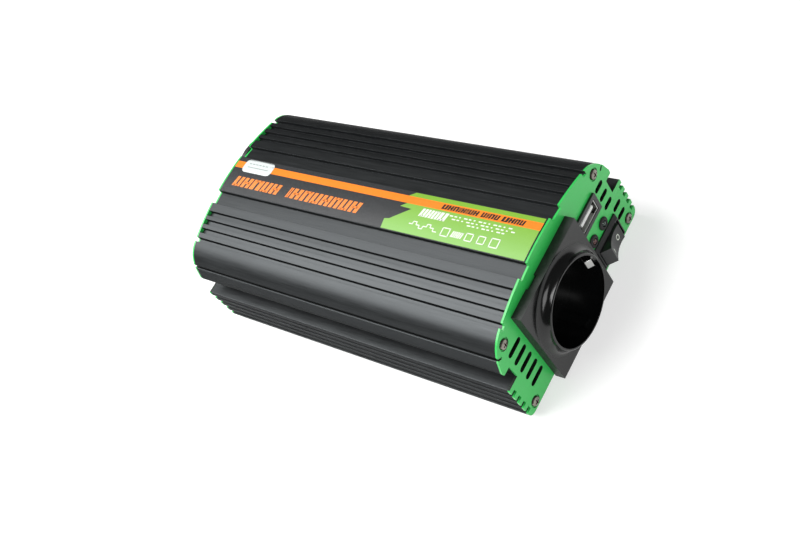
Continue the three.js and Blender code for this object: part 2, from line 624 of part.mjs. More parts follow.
// ---- Switch ------------------------------------------------------------------------------------

function switchBody() {
  const bezel = block([SWITCH.x - SWITCH.halfX, -SWITCH_LIP, SWITCH.z - SWITCH.halfZ],
    [SWITCH.x + SWITCH.halfX, -SEAT, SWITCH.z + SWITCH.halfZ]);
  const pocket = [ROCKER_RADIUS + ROCKER_FIT, ROCKER_HALF + ROCKER_FIT];
  const rim = pocket.map((half) => half + SWITCH_RIM);
  const rise = taperedBlock(SWITCH.x, SWITCH.z, [SWITCH.halfX, SWITCH.halfZ], rim, -SWITCH.proud, -SWITCH_LIP);
  const can = alongY(rectangle(SWITCH.x, SWITCH.z, SWITCH.bodyX, SWITCH.bodyZ), -SWITCH_LIP / 2, SWITCH.depth);
  const reach = ROCKER_HALF + PIVOT_END + BORE_FIT;
  const pivot = post(SWITCH.x, PIVOT_DEPTH, PIVOT_RADIUS + BORE_FIT, SWITCH.z - reach, SWITCH.z + reach, 20);
  const opening = rectangle(SWITCH.x, SWITCH.z, ...pocket);
  const well = alongY(opening, -SWITCH.proud - OVER, SWITCH.depth - SWITCH_BACK);
  return cut(join([bezel, rise, can]), [well, pivot]);
}

// The rocker's section is symmetric in its middle position. At rest the far end is pressed in.
function rocker() {
  const [cornerX, cornerY] = ROCKER_CORNER;
  const steps = 3;
  const hollow = Array.from({ length: steps + 1 }, (_, i) => {
    const share = i / steps;
    return [Math.max(0.001, share * cornerX), -ROCKER_FACE - (cornerY - ROCKER_FACE) * share ** 2];
  });
  const profile = mirrored([...hollow, ...arc(0, 0, ROCKER_RADIUS, ...ROCKER_ENDS, 4), ...ROCKER_BACK]);
  const [across, along] = [Math.cos(ROCKER_TILT), Math.sin(ROCKER_TILT)];
  const placed = profile.map(([x, y]) => [
    SWITCH.x + x * across - y * along,
    PIVOT_DEPTH + x * along + y * across,
  ]);
  const paddle = alongZ(placed, SWITCH.z - ROCKER_HALF, SWITCH.z + ROCKER_HALF);
  const reach = ROCKER_HALF + PIVOT_END;
  return paddle.add(post(SWITCH.x, PIVOT_DEPTH, PIVOT_RADIUS, SWITCH.z - reach, SWITCH.z + reach, 20));
}

function switchTab(side) {
  const { offset, halfX, halfZ, length } = SWITCH_TAB;
  const x = SWITCH.x + side * offset;
  return block([x - halfX, SWITCH.depth + SEAT, SWITCH.z - halfZ],
    [x + halfX, SWITCH.depth + length, SWITCH.z + halfZ]);
}

// ---- Fan ---------------------------------------------------------------------------------------

const fanFront = rearInside - SEAT - FAN.depth;

function fanFrame() {
  const rim = roundedRectangle(FAN.x, fanZ, FAN.half, FAN.half, FAN.corner);
  const corners = [[1, 1], [1, -1], [-1, 1], [-1, -1]];
  const holes = corners.map(([i, j]) => circle(FAN.x + i * FAN.spacing, fanZ + j * FAN.spacing, FAN.hole, 12));
  const duct = circle(FAN.x, fanZ, FAN.bore, 40);
  const body = alongY(rim, fanFront, fanFront + FAN.depth, [duct, ...holes]);
  const arms = [0, 1, 2].map((i) => {
    const length = FAN.bore + 0.5; // into the frame
    const geometry = new THREE.BoxGeometry(length, FAN_ARM.thick, FAN_ARM.width);
    geometry.translate(length / 2, 0, 0);
    geometry.rotateY((i * 2 * Math.PI) / 3 + FAN_ARM.turn);
    geometry.translate(FAN.x, fanFront + FAN_ARM.thick / 2, fanZ);
    return solidOf(geometry);
  });
  const motorPlate = rod(FAN.x, fanZ, FAN.hub, fanFront, fanFront + FAN_ARM.thick);
  const shaft = rod(FAN.x, fanZ, FAN_SHAFT.radius, fanFront, fanFront + FAN_SHAFT.length, 12);
  return join([body, ...arms, motorPlate, shaft]);
}

function fanRotor() {
  const low = fanFront + FAN_ARM.thick + FIT;
  const high = fanFront + FAN.depth - TIP_GAP;
  const tip = FAN.bore - TIP_GAP;
  const hub = rod(FAN.x, fanZ, FAN.hub, low, high);
  const length = tip - FAN.hub + BLADES.root;
  const blades = Array.from({ length: BLADES.count }, (_, i) => {
    const geometry = new THREE.BoxGeometry(length, BLADES.thick, BLADES.chord);
    geometry.rotateX(BLADES.pitch);
    geometry.translate(tip - length / 2, 0, 0);
    geometry.rotateY((i * 2 * Math.PI) / BLADES.count);
    geometry.translate(FAN.x, (low + high) / 2, fanZ);
    return solidOf(geometry);
  });
  const sweep = rod(FAN.x, fanZ, tip, low, high, 40);
  const boreEnd = fanFront + FAN_SHAFT.length + FIT;
  const bore = rod(FAN.x, fanZ, FAN_SHAFT.radius + BORE_FIT, low - OVER, boreEnd, 12);
  return join([hub, ...blades]).intersect(sweep).subtract(bore);
}

function fanGuard() {
  const low = LENGTH + SEAT;
  const high = LENGTH + GUARD_THICK;
  const round = (radius) => circle(FAN.x, fanZ, radius, 32);
  const rings = GUARD_RINGS.map(([outer, inner]) => alongY(round(outer), low, high, [round(inner)]));
  const spokes = [0, 1, 2].map((i) => {
    const thick = GUARD_THICK - GUARD_SPOKE.set;
    const geometry = new THREE.BoxGeometry(2 * (GUARD_RINGS[0][0] - 1), thick, GUARD_SPOKE.width);
    geometry.rotateY((i * Math.PI) / 3);
    geometry.translate(FAN.x, low + thick / 2, fanZ);
    return solidOf(geometry);
  });
  const lugs = fanScrewPlaces.map(([x, z]) => rod(x, z, GUARD_LUG, low, high));
  const bores = fanScrewPlaces.map(([x, z]) => rod(x, z, SCREW_SHANK + FIT, low - OVER, high + OVER, 16));
  return cut(join([...rings, ...spokes, ...lugs, rod(FAN.x, fanZ, GUARD_HUB, low, high)]), bores);
}

// ---- Input terminals ---------------------------------------------------------------------------

const washerFront = LENGTH + TERMINAL_BASE + FIT;
const knobFront = washerFront + WASHER + FIT;
const knobEnd = knobFront + KNOB.length;
const neckRadius = STUD_RADIUS + NECK_WALL;
const neckEnd = rearInside - NECK_REACH;

function terminalBase(x) {
  const flange = rod(x, TERMINAL_Z, TERMINAL_RADIUS, LENGTH + SEAT, LENGTH + TERMINAL_BASE, 32);
  const neck = rod(x, TERMINAL_Z, neckRadius, neckEnd, LENGTH + TERMINAL_BASE / 2);
  const bore = rod(x, TERMINAL_Z, STUD_RADIUS + BORE_FIT, neckEnd - OVER, LENGTH + TERMINAL_BASE + OVER);
  return join([flange, neck]).subtract(bore);
}

function terminalStud(x) {
  const shaft = rod(x, TERMINAL_Z, STUD_RADIUS, rearInside - STUD_TAIL, LENGTH + STUD_REACH);
  const nut = rod(x, TERMINAL_Z, STUD_NUT.radius, neckEnd - SEAT - STUD_NUT.thick, neckEnd - SEAT, 6);
  return join([shaft, nut]);
}

function terminalWasher(x) {
  const hole = circle(x, TERMINAL_Z, STUD_RADIUS + FIT, 24);
  const rim = circle(x, TERMINAL_Z, KNOB.radius - KNOB.flute, 32);
  return alongY(rim, washerFront, washerFront + WASHER, [hole]);
}

function terminalKnob(x) {
  const outline = [];
  const steps = KNOB.flutes * 4;
  for (let i = 0; i < steps; i += 1) {
    const angle = (i * 2 * Math.PI) / steps;
    const radius = KNOB.radius - KNOB.flute * (1 - Math.cos(KNOB.flutes * angle));
    outline.push([x + radius * Math.cos(angle), TERMINAL_Z + radius * Math.sin(angle)]);
  }
  const bore = rod(x, TERMINAL_Z, STUD_RADIUS + FIT, knobFront - OVER, knobEnd - KNOB.cap);
  return alongY(outline, knobFront, knobEnd).subtract(bore);
}

// ---- Inside pieces -----------------------------------------------------------------------------

const boardTop = SHELF + SEAT + BOARD;
const boardRear = LENGTH - BOARD_REAR_GAP;
const boardHalf = baseWall - BOARD_SIDE_GAP;
const standing = boardTop + SEAT; // pieces on the main board start here

const mainBoard = () => block([-boardHalf, BOARD_FRONT, SHELF + SEAT], [boardHalf, boardRear, boardTop]);

function frontBoard() {
  const front = PLATE + LENS_REACH + FIT;
  const { x, z } = FRONT_BOARD;
  return block([x[0], front, z[0]], [x[1], front + BOARD, z[1]]);
}

const coreY = (BOARD_FRONT + boardRear) / 2 + CORE.offset;

function transformerCore() {
  const outer = block([-CORE.halfX, coreY - CORE.halfY, standing],
    [CORE.halfX, coreY + CORE.halfY, standing + CORE.height]);
  const windows = bothSides((s) => {
    const x = span(s * CORE.leg, s * (CORE.leg + CORE.window));
    return block([x[0], coreY - CORE.halfY - OVER, standing + CORE.yoke],
      [x[1], coreY + CORE.halfY + OVER, standing + CORE.height - CORE.yoke]);
  });
  return cut(outer, windows);
}

function transformerWinding() {
  const low = standing + CORE.yoke + FIT;
  const high = standing + CORE.height - CORE.yoke - FIT;
  const halfX = CORE.leg + CORE.window - FIT;
  const outline = roundedRectangle(0, coreY, halfX, CORE.halfY + WINDING_BULGE.out, WINDING_BULGE.corner);
  const legHole = block([-CORE.leg - FIT, coreY - CORE.halfY - FIT, low - OVER],
    [CORE.leg + FIT, coreY + CORE.halfY + FIT, high + OVER]);
  return alongZ(outline, low, high).subtract(legHole);
}

const transistorPlaces = [coreY - TRANSISTOR.apart / 2, coreY + TRANSISTOR.apart / 2];

// A power transistor on its leads, back against the side wall.
function transistor(side, y) {
  const { width, height, thick, lead, pitch, drop } = TRANSISTOR;
  const wall = cavityWall - FIT;
  const x = span(side * wall, side * (wall - thick));
  const bottom = BASE_TOP - drop;
  const body = block([x[0], y - width / 2, bottom], [x[1], y + width / 2, bottom + height]);
  const middle = (x[0] + x[1]) / 2;
  const leads = [-1, 0, 1].map((k) => {
    const at = y + k * pitch;
    return block([middle - lead / 2, at - lead / 2, standing], [middle + lead / 2, at + lead / 2, bottom + 1]);
  });
  return join([body, ...leads]);
}

function clampBar(side) {
  const face = cavityWall - FIT - TRANSISTOR.thick - FIT;
  const x = span(side * face, side * (face - CLAMP.thick));
  const z = BASE_TOP + CLAMP.up;
  const [front, rear] = transistorPlaces;
  return block([x[0], front - CLAMP.overhang, z], [x[1], rear + CLAMP.overhang, z + CLAMP.height]);
}

// A can capacitor standing on the main board.
function capacitor(x, y, { radius, height }) {
  const { share, half, depth } = CAPACITOR_SCORE;
  const top = boardTop + height;
  const score = block([x - radius * share, y - half, top - depth], [x + radius * share, y + half, top + OVER]);
  return post(x, y, radius, standing, top, 28).subtract(score);
}

// A flat fuse with two blades.
function fuse(y) {
  const { x, half, low, high } = FUSE_BODY;
  const body = block([x - half[0], y - half[1], standing + low], [x + half[0], y + half[1], standing + high]);
  const blades = bothSides((s) => {
    const at = x + s * FUSE_BLADE.offset;
    const [wide, thin] = FUSE_BLADE.half;
    return block([at - wide, y - thin, standing], [at + wide, y + thin, standing + low + OVER]);
  });
  return join([body, ...blades]);
}

// ---- Label, badge and feet ---------------------------------------------------------------------

function curvedSheet(fromX, toX, fromY, toY, lift, thick) {
  const under = domeArc(fromX, toX, -lift, 6);
  const over = domeArc(toX, fromX, -lift - thick, 6);
  return alongY([...under, ...over], fromY, toY);
}

const topLabel = () => curvedSheet(-LABEL.left, LABEL.right, PLATE + LABEL.front, rearInside - LABEL.rear,
  SEAT, LABEL.thick);

const badge = () => curvedSheet(...BADGE.x, ...BADGE.fromRear.map((distance) => LENGTH - distance),
  2 * SEAT + LABEL.thick, BADGE.thick);

const foot = (side, y) => post(side * (HALF_WIDTH - FOOT.inset), y, FOOT.radius, -FOOT_HEIGHT, -SEAT, 28);

// ---- Assembly ----------------------------------------------------------------------------------

add('upper_housing', upperHousing(), ANODISED);
add('lower_housing', lowerHousing(), ANODISED);
add('front_plate', frontPlate(), GREEN_PAINT);
add('rear_plate', rearPlate(), GREEN_PAINT);
add('top_label', topLabel(), LABEL_PRINT);
add('badge_sticker', badge(), STICKER);

screwPlaces.forEach(([x, z], i) => {
  add(`front_screw_${i + 1}`, screw(x, z, SCREW_SINK, SCREW_LENGTH, false), STEEL);
  add(`rear_screw_${i + 1}`, screw(x, z, LENGTH - SCREW_SINK, SCREW_LENGTH, true), STEEL);
});

add('socket_body', socketBody(), BLACK_PLASTIC);
add('socket_earth_strap', earthStrap(), STEEL);
add('socket_line_contact', socketContact(1), BRASS);
add('socket_neutral_contact', socketContact(-1), BRASS);

add('usb_bezel', usbBezel(), BLACK_PLASTIC);
add('usb_shell', usbShell(), STEEL);
add('usb_tongue', usbTongue(), BLACK_PLASTIC);

for (const [name, place] of Object.entries(LIGHTS)) {
  add(`${name}_light_ring`, lightRing(place), RUBBER);
  add(`${name}_light_lens`, lightLens(place), name === 'power' ? GREEN_LENS : RED_LENS);
}

add('switch_body', switchBody(), BLACK_PLASTIC);
add('switch_rocker', rocker(), ROCKER_PLASTIC);
add('switch_tab_left', switchTab(-1), BRASS);
add('switch_tab_right', switchTab(1), BRASS);

add('fan_frame', fanFrame(), BLACK_PLASTIC);
add('fan_rotor', fanRotor(), BLACK_PLASTIC);
add('fan_guard', fanGuard(), BLACK_PLASTIC);
fanScrewPlaces.forEach(([x, z], i) => {
  add(`fan_screw_${i + 1}`, screw(x, z, LENGTH + GUARD_THICK, FAN_SCREW_LENGTH, true), STEEL);
});

for (const [name, x] of Object.entries(TERMINALS)) {
  const plastic = name === 'positive' ? RED_PLASTIC : BLACK_PLASTIC;
  add(`${name}_terminal_base`, terminalBase(x), plastic);
  add(`${name}_terminal_stud`, terminalStud(x), BRASS);
  add(`${name}_terminal_washer`, terminalWasher(x), BRASS);
  add(`${name}_terminal_knob`, terminalKnob(x), plastic);
}

add('main_board', mainBoard(), BOARD_GREEN);
add('front_board', frontBoard(), BOARD_GREEN);
add('transformer_core', transformerCore(), FERRITE);
add('transformer_winding', transformerWinding(), WINDING);
add('clamp_bar_left', clampBar(-1), STEEL);
add('clamp_bar_right', clampBar(1), STEEL);
for (const [sideName, side] of [['left', -1], ['right', 1]]) {
  transistorPlaces.forEach((y, i) => add(`transistor_${sideName}_${i + 1}`, transistor(side, y), FERRITE));
}
for (const [sideName, x] of Object.entries(INPUT_CAPACITOR.places)) {
  add(`input_capacitor_${sideName}`, capacitor(x, boardRear - REAR_ROW, INPUT_CAPACITOR), CAPACITOR);
}
add('bus_capacitor', capacitor(BUS_CAPACITOR.x, BOARD_FRONT + BUS_CAPACITOR.back, BUS_CAPACITOR), CAPACITOR);
add('fuse', fuse(boardRear - REAR_ROW), FUSE);

for (const [endName, y] of [['front', FOOT.end], ['rear', LENGTH - FOOT.end]]) {
  add(`foot_${endName}_left`, foot(-1, y), RUBBER);
  add(`foot_${endName}_right`, foot(1, y), RUBBER);
}

inverter.position.set(0, -(knobEnd - socketReach) / 2, FOOT_HEIGHT);

export default inverter;
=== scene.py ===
# %% [markdown]
# # A small power inverter, finished in Blender
#
# The real object is a box that turns the 12 V of a car battery into mains voltage. Two aluminium
# extrusions close into a finned tube, two green end plates shut it, and the sockets sit in the plates.
# The CAD model already holds every solid in its true place. This lesson gives each one the surface
# that a factory would give it: rounded edges, anodising, paint, moulded grain and print.

import json
import math

import bmesh
import bpy
from mathutils import Matrix, Vector
from mathutils.bvhtree import BVHTree

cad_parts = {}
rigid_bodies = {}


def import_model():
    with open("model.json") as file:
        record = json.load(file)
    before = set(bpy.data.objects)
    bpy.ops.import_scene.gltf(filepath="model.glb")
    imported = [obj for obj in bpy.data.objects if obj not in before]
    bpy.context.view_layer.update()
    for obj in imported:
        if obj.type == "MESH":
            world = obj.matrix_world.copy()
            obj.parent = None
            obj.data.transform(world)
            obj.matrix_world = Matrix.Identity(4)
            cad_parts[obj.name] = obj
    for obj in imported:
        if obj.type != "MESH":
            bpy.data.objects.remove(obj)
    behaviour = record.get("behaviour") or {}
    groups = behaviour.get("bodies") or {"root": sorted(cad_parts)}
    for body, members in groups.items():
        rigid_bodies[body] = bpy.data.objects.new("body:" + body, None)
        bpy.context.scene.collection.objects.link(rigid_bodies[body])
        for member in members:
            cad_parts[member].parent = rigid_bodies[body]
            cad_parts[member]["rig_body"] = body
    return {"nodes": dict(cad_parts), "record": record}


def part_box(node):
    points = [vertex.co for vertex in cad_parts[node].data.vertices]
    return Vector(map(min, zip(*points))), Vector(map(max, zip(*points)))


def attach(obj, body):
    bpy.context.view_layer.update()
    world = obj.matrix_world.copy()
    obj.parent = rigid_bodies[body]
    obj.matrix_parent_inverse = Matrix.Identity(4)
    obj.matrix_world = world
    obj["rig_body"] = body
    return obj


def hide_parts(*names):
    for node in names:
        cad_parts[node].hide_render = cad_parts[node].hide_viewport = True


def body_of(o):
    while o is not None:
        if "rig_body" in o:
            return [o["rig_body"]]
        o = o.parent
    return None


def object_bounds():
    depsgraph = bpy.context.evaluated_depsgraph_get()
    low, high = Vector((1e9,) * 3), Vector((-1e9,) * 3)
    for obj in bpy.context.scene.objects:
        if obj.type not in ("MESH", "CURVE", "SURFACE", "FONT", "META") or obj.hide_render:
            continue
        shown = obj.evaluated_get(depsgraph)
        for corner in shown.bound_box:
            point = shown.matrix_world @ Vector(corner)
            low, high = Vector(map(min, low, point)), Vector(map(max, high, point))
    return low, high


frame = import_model()
cad_low, cad_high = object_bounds()
MM = 0.001
print("CAD box in mm:", [round(v / MM, 1) for v in (*cad_low, *cad_high)])

# %% [markdown]
# ## Nodes and colours
#
# A Blender material is a small graph of nodes. One helper adds a node, sets its values and links its
# inputs, and everything below is built with it. Colours are written as sRGB hex, as a paint chart
# gives them, and are turned to the linear values that light is reckoned in.

# %% Two helpers for every material
def linear(hex_colour):
    """An sRGB hex colour as linear red, green, blue and alpha."""
    parts = [int(hex_colour[i : i + 2], 16) / 255 for i in (1, 3, 5)]
    return (*[p / 12.92 if p <= 0.04045 else ((p + 0.055) / 1.055) ** 2.4 for p in parts], 1.0)


def add_node(tree, kind, inputs=None, **settings):
    """Adds a node to tree, with its settings, and with a value or a link for each named input."""
    node = tree.nodes.new(kind)
    for name, value in settings.items():
        setattr(node, name, value)
    for name, value in (inputs or {}).items():
        if isinstance(value, bpy.types.NodeSocket):
            tree.links.new(value, node.inputs[name])
        else:
            node.inputs[name].default_value = value
    return node


def per_mm(size):
    """The texture scale that makes one feature of a noise about size millimetres across."""
    return 1 / (size * MM)


print("Helpers ready")

# %% [markdown]
# ## A surface with grain
#
# No real surface is one flat value. Anodising follows the lines that the extrusion die leaves, paint
# dries with a faint orange peel, and moulded plastic copies the spark-eroded grain of its mould. All
# of them are the same three things at different sizes: the colour drifts a little, the gloss drifts a
# little, and the surface has a shallow relief. So one recipe makes them, and each finish gives its
# own sizes. The coordinates are the object's own, so the pattern moves with the piece.

# %% The recipe
def grained(name, colour, second_colour, roughness, grain, relief,
            metallic=0.0, stretch=(1, 1, 1), drift=60, **sockets):
    """A material whose grain is grain mm across and relief mm deep. roughness is its two ends, and
    drift is the size in mm of the slow change between the two colours."""
    material = bpy.data.materials.new(name)
    material.use_nodes = True
    tree = material.node_tree
    tree.nodes.clear()
    place = add_node(tree, "ShaderNodeTexCoord")
    stretched = add_node(tree, "ShaderNodeMapping", {"Vector": place.outputs["Object"], "Scale": stretch})
    slow = add_node(tree, "ShaderNodeTexNoise",
                    {"Vector": stretched.outputs["Vector"], "Scale": per_mm(drift), "Detail": 3.0})
    fine = add_node(tree, "ShaderNodeTexNoise",
                    {"Vector": stretched.outputs["Vector"], "Scale": per_mm(grain), "Detail": 2.0})
    both = add_node(tree, "ShaderNodeMath",
                    {0: slow.outputs["Fac"], 1: fine.outputs["Fac"]}, operation="MULTIPLY")
    spread = add_node(tree, "ShaderNodeMapRange",
                      {"Value": both.outputs["Value"], "From Min": 0.12, "From Max": 0.4})
    tint = add_node(tree, "ShaderNodeMix", {"Factor": spread.outputs["Result"]}, data_type="RGBA")
    tint.inputs[6].default_value = linear(colour)
    tint.inputs[7].default_value = linear(second_colour)
    gloss = add_node(tree, "ShaderNodeMapRange",
                     {"Value": fine.outputs["Fac"], "From Min": 0.3, "From Max": 0.7,
                      "To Min": roughness[0], "To Max": roughness[1]})
    bump = add_node(tree, "ShaderNodeBump",
                    {"Height": fine.outputs["Fac"], "Strength": 1.0, "Distance": relief * MM})
    shader = add_node(tree, "ShaderNodeBsdfPrincipled",
                      {"Base Color": tint.outputs[2], "Roughness": gloss.outputs["Result"],
                       "Metallic": metallic, "Normal": bump.outputs["Normal"], **sockets})
    add_node(tree, "ShaderNodeOutputMaterial", {"Surface": shader.outputs["BSDF"]})
    return material


print("Recipe ready")

# %% [markdown]
# ## The finishes
#
# Each finish is named for what the real one is. Dark metals keep Blender's own index of refraction,
# and plastics and paints use the value of their resin, near 1.5.

# %% Metals and paint
# Black anodising on extruded aluminium: a dark satin metal. The grain is stretched along the length,
# as die lines are, which smears the highlights of the fins into long soft bands.
anodised_aluminium = grained(
    "anodised_aluminium", "#37393a", "#3f4142", (0.36, 0.46), grain=0.5, relief=0.004,
    metallic=0.85, stretch=(1, 0.03, 1), drift=9, **{"Specular Tint": (0.3, 0.3, 0.3, 1)})

# Powder coat is baked from dust, so it keeps a soft orange peel about a millimetre across. That
# breaks up the reflection of the floor and makes the green look thick.
powder_coat = grained(
    "green_powder_coat", "#2aad4c", "#31b653", (0.3, 0.42), grain=0.9, relief=0.006, IOR=1.5)

# Nickel plating on the earth strap, the USB shell and the clamp bars: bright, with hardly any grain.
nickel_plate = grained(
    "nickel_plate", "#b9bab8", "#c9c9c6", (0.12, 0.24), grain=0.3, relief=0.001, metallic=1.0, drift=4)

# The walls of the slots and screw dimples are near black: painted shade, standing for the shadow that
# fills these narrow holes, so they read as black from every side.
hole_painted_shade = grained("painted_shade_in_holes", "#060807", "#0b0e0c", (0.6, 0.75), grain=0.3, relief=0.004)

# The plate screws are a duller, warmer steel, bright only where a lamp is seen in them.
steel = grained(
    "zinc_plated_steel", "#77726b", "#8a857d", (0.16, 0.28), grain=0.3, relief=0.001, metallic=1.0, drift=3)

# Brass of the terminals and the socket's contacts.

brass = grained(
    "turned_brass", "#c8a552", "#d3b465", (0.2, 0.32), grain=0.25, relief=0.002, metallic=1.0, drift=5)
metals_and_paint = (anodised_aluminium, powder_coat, nickel_plate, hole_painted_shade, steel, brass)
print("Metals and paint:", [m.name for m in metals_and_paint])

# %% Plastics and rubber
# The socket's collar and recess come from a polished part of the mould: deep black, with one soft
# highlight that shows how round the collar is.
polycarbonate = grained(
    "black_polycarbonate", "#070808", "#0b0c0c", (0.13, 0.2), grain=0.6, relief=0.0008, IOR=1.58,
    **{"Specular IOR Level": 0.3})

# Its square plate is spark-eroded: matt, greyer, with a grain that can be seen from near.
textured_polycarbonate = grained(
    "spark_eroded_polycarbonate", "#101211", "#242625", (0.4, 0.62), grain=0.6, relief=0.035, drift=3,
    IOR=1.58, **{"Specular IOR Level": 0.4})

# Nylon of the switch, the fan and the negative terminal: a little duller than polycarbonate.
nylon = grained("black_nylon", "#131415", "#1b1c1d", (0.34, 0.48), grain=0.4, relief=0.004, IOR=1.53)
red_nylon = grained("red_nylon", "#a01812", "#b0241c", (0.32, 0.46), grain=0.4, relief=0.004, IOR=1.53)
white_nylon = grained("white_nylon", "#c9cbc8", "#d3d5d2", (0.3, 0.42), grain=0.4, relief=0.003, IOR=1.53)
rubber = grained("soft_rubber", "#151515", "#1e1e1e", (0.7, 0.85), grain=0.3, relief=0.01, IOR=1.52)

# The lamps are clear tinted epoxy, so light passes into them.
green_epoxy = grained("green_epoxy", "#3d5249", "#465c52", (0.05, 0.1), grain=2, relief=0.001,
                      **{"Transmission Weight": 0.5, "IOR": 1.54})
red_epoxy = grained("red_epoxy", "#6b3a36", "#764440", (0.05, 0.1), grain=2, relief=0.001,
                    **{"Transmission Weight": 0.5, "IOR": 1.54})
print("Plastics and rubber ready")

# %% Inner parts
solder_mask = grained(
    "green_solder_mask", "#14532c", "#1a6135", (0.3, 0.45), grain=0.4, relief=0.01, IOR=1.55)
ferrite = grained("sintered_ferrite", "#2f3032", "#3a3b3d", (0.6, 0.75), grain=0.25, relief=0.01)
winding_tape = grained(
    "yellow_winding_tape", "#b98a2c", "#c99b3c", (0.3, 0.45), grain=0.8, relief=0.01, IOR=1.5)
shrink_sleeve = grained(
    "blue_shrink_sleeve", "#16294a", "#1d3359", (0.22, 0.34), grain=1.5, relief=0.004, IOR=1.5)
fuse_plastic = grained("orange_fuse_plastic", "#c0601c", "#d0722c", (0.15, 0.25), grain=2, relief=0.002,
                       **{"Transmission Weight": 0.35, "IOR": 1.5})
print("Inner parts ready")

# %% [markdown]
# ## From a CAD solid to a finished piece
#
# A CAD solid has edges of no width, and an edge of no width catches no light. On the real object a
# die, a mould or a deburring wheel leaves every edge rounded, and that thin bright line along an
# edge is what tells the eye that a thing is solid. So each piece starts from its CAD solid: its flat
# triangles are merged into whole faces, its corners are rounded by a real size in millimetres, and
# the curved faces are shaded smooth. It then stands for the CAD solid, and rides on the same body.

# %% The dressing helper
body_of_node = {}
for body, members in frame["record"]["behaviour"]["bodies"].items():
    for node in members:
        body_of_node[node] = body


def put_in_scene(name, mesh, body, material):
    """Makes an object from mesh, gives it its material, and lets it ride on body."""
    piece = bpy.data.objects.new(name, mesh)
    bpy.context.scene.collection.objects.link(piece)
    mesh.materials.append(material)
    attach(piece, body)
    return piece


def dress(node, material, edge, steps=2, corner=28):
    """A finished piece in place of a CAD node. edge is the radius of its rounded edges in mm, and an
    edge is a corner if its faces turn by more than corner degrees."""
    form = bmesh.new()
    form.from_mesh(frame["nodes"][node].data)
    bmesh.ops.remove_doubles(form, verts=form.verts, dist=0.002 * MM)
    bmesh.ops.dissolve_limit(form, angle_limit=math.radians(0.4), verts=form.verts, edges=form.edges)
    turn = math.radians(corner)
    corners = [e for e in form.edges if len(e.link_faces) == 2 and e.calc_face_angle(0) > turn]
    if edge:
        bmesh.ops.bevel(form, geom=corners, offset=edge * MM, offset_type="OFFSET", segments=steps,
                        profile=0.5, affect="EDGES", clamp_overlap=True)
    mesh = bpy.data.meshes.new(node + "_finished")
    form.to_mesh(mesh)
    form.free()
    mesh.polygons.foreach_set("use_smooth", [True] * len(mesh.polygons))
    mesh.set_sharp_from_angle(angle=turn)
    piece = put_in_scene(node + "_finished", mesh, body_of_node[node], material)
    piece.modifiers.new("flat faces stay flat", "WEIGHTED_NORMAL").keep_sharp = True
    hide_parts(node)
    return piece


# %% A second finish on part of a piece
def second_finish(piece, material, chosen):
    """Gives material to the faces for which chosen(centre, normal) is true."""
    piece.data.materials.append(material)
    count = 0
    for face in piece.data.polygons:
        if chosen(face.center, face.normal):
            face.material_index = 1
            count += 1
    print(material.name, "on", count, "faces of", piece.name)


def is_hole_wall(piece, reach):
    """A test for the walls of holes in a plate. A wall of a hole has another wall facing it, less
    than reach mm away, and it isn't among the fins or steps of the outline."""
    form = bmesh.new()
    form.from_mesh(piece.data)
    walls = BVHTree.FromBMesh(form)
    form.free()
    high = Vector([max(v.co[i] for v in piece.data.vertices) for i in range(3)])
    fins = 3.4 * MM  # the depth of the fins in the outline

    def test(centre, normal):
        is_face = abs(normal.y) > 0.7
        if is_face or abs(centre.x) > high.x - fins or centre.z > high.z - 2 * fins:
            return False
        return walls.ray_cast(centre + normal * 0.01 * MM, normal, reach * MM)[0] is not None

    return test

# %% [markdown]
# ## Housing and end plates
#
# The two extrusions keep crisp fins, with a radius of about a third of a millimetre. The plates are
# stamped, so their edges are sharper still.

# %% Dress the shell
dress("upper_housing", anodised_aluminium, edge=0.38, steps=3)
dress("lower_housing", anodised_aluminium, edge=0.28)
front_plate = dress("front_plate", powder_coat, edge=0.15)
rear_plate = dress("rear_plate", powder_coat, edge=0.15)
WIDEST_HOLE = 11  # in mm, wider than every slot and screw dimple
# The walls of the holes in both plates get the painted shade.
for plate in (front_plate, rear_plate):
    second_finish(plate, hole_painted_shade, is_hole_wall(plate, WIDEST_HOLE))

# %% Dress everything fixed to the plates
screws = [dress(node, steel, edge=0.1) for node in body_of_node if "_screw_" in node]
feet = [dress(node, rubber, edge=0.5, steps=3) for node in body_of_node if node.startswith("foot_")]
socket_body = dress("socket_body", polycarbonate, edge=0.35, steps=3, corner=35)
COLLAR_HEIGHT = 4.5
RECESS_WALL = 20.6  # in mm from the axis, and everything outside it that isn't collar is the plate
socket_low, socket_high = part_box("socket_body")
socket_axis = (socket_low + socket_high) / 2
second_finish(socket_body, textured_polycarbonate,
              lambda centre, normal: centre.y > socket_low.y + COLLAR_HEIGHT * MM
              and math.hypot(centre.x - socket_axis.x, centre.z - socket_axis.z) > RECESS_WALL * MM)
dress("socket_earth_strap", nickel_plate, edge=0.25, steps=3, corner=70)
for side in ("line", "neutral"):
    dress(f"socket_{side}_contact", brass, edge=0.1)
dress("usb_bezel", nylon, edge=0.25)
dress("usb_shell", nickel_plate, edge=0.12)
dress("usb_tongue", white_nylon, edge=0.1)
dress("switch_body", nylon, edge=0.2)
switch_rocker = dress("switch_rocker", nylon, edge=0.3, steps=3, corner=20)
for side in ("left", "right"):
    dress(f"switch_tab_{side}", brass, edge=0.1)
for light in ("power", "fault"):
    dress(f"{light}_light_ring", rubber, edge=0.15, steps=3)
for light, epoxy in (("power", green_epoxy), ("fault", red_epoxy)):
    dress(f"{light}_light_lens", epoxy, edge=0)
print("Dressed", len(screws), "screws,", len(feet), "feet and the front fittings")

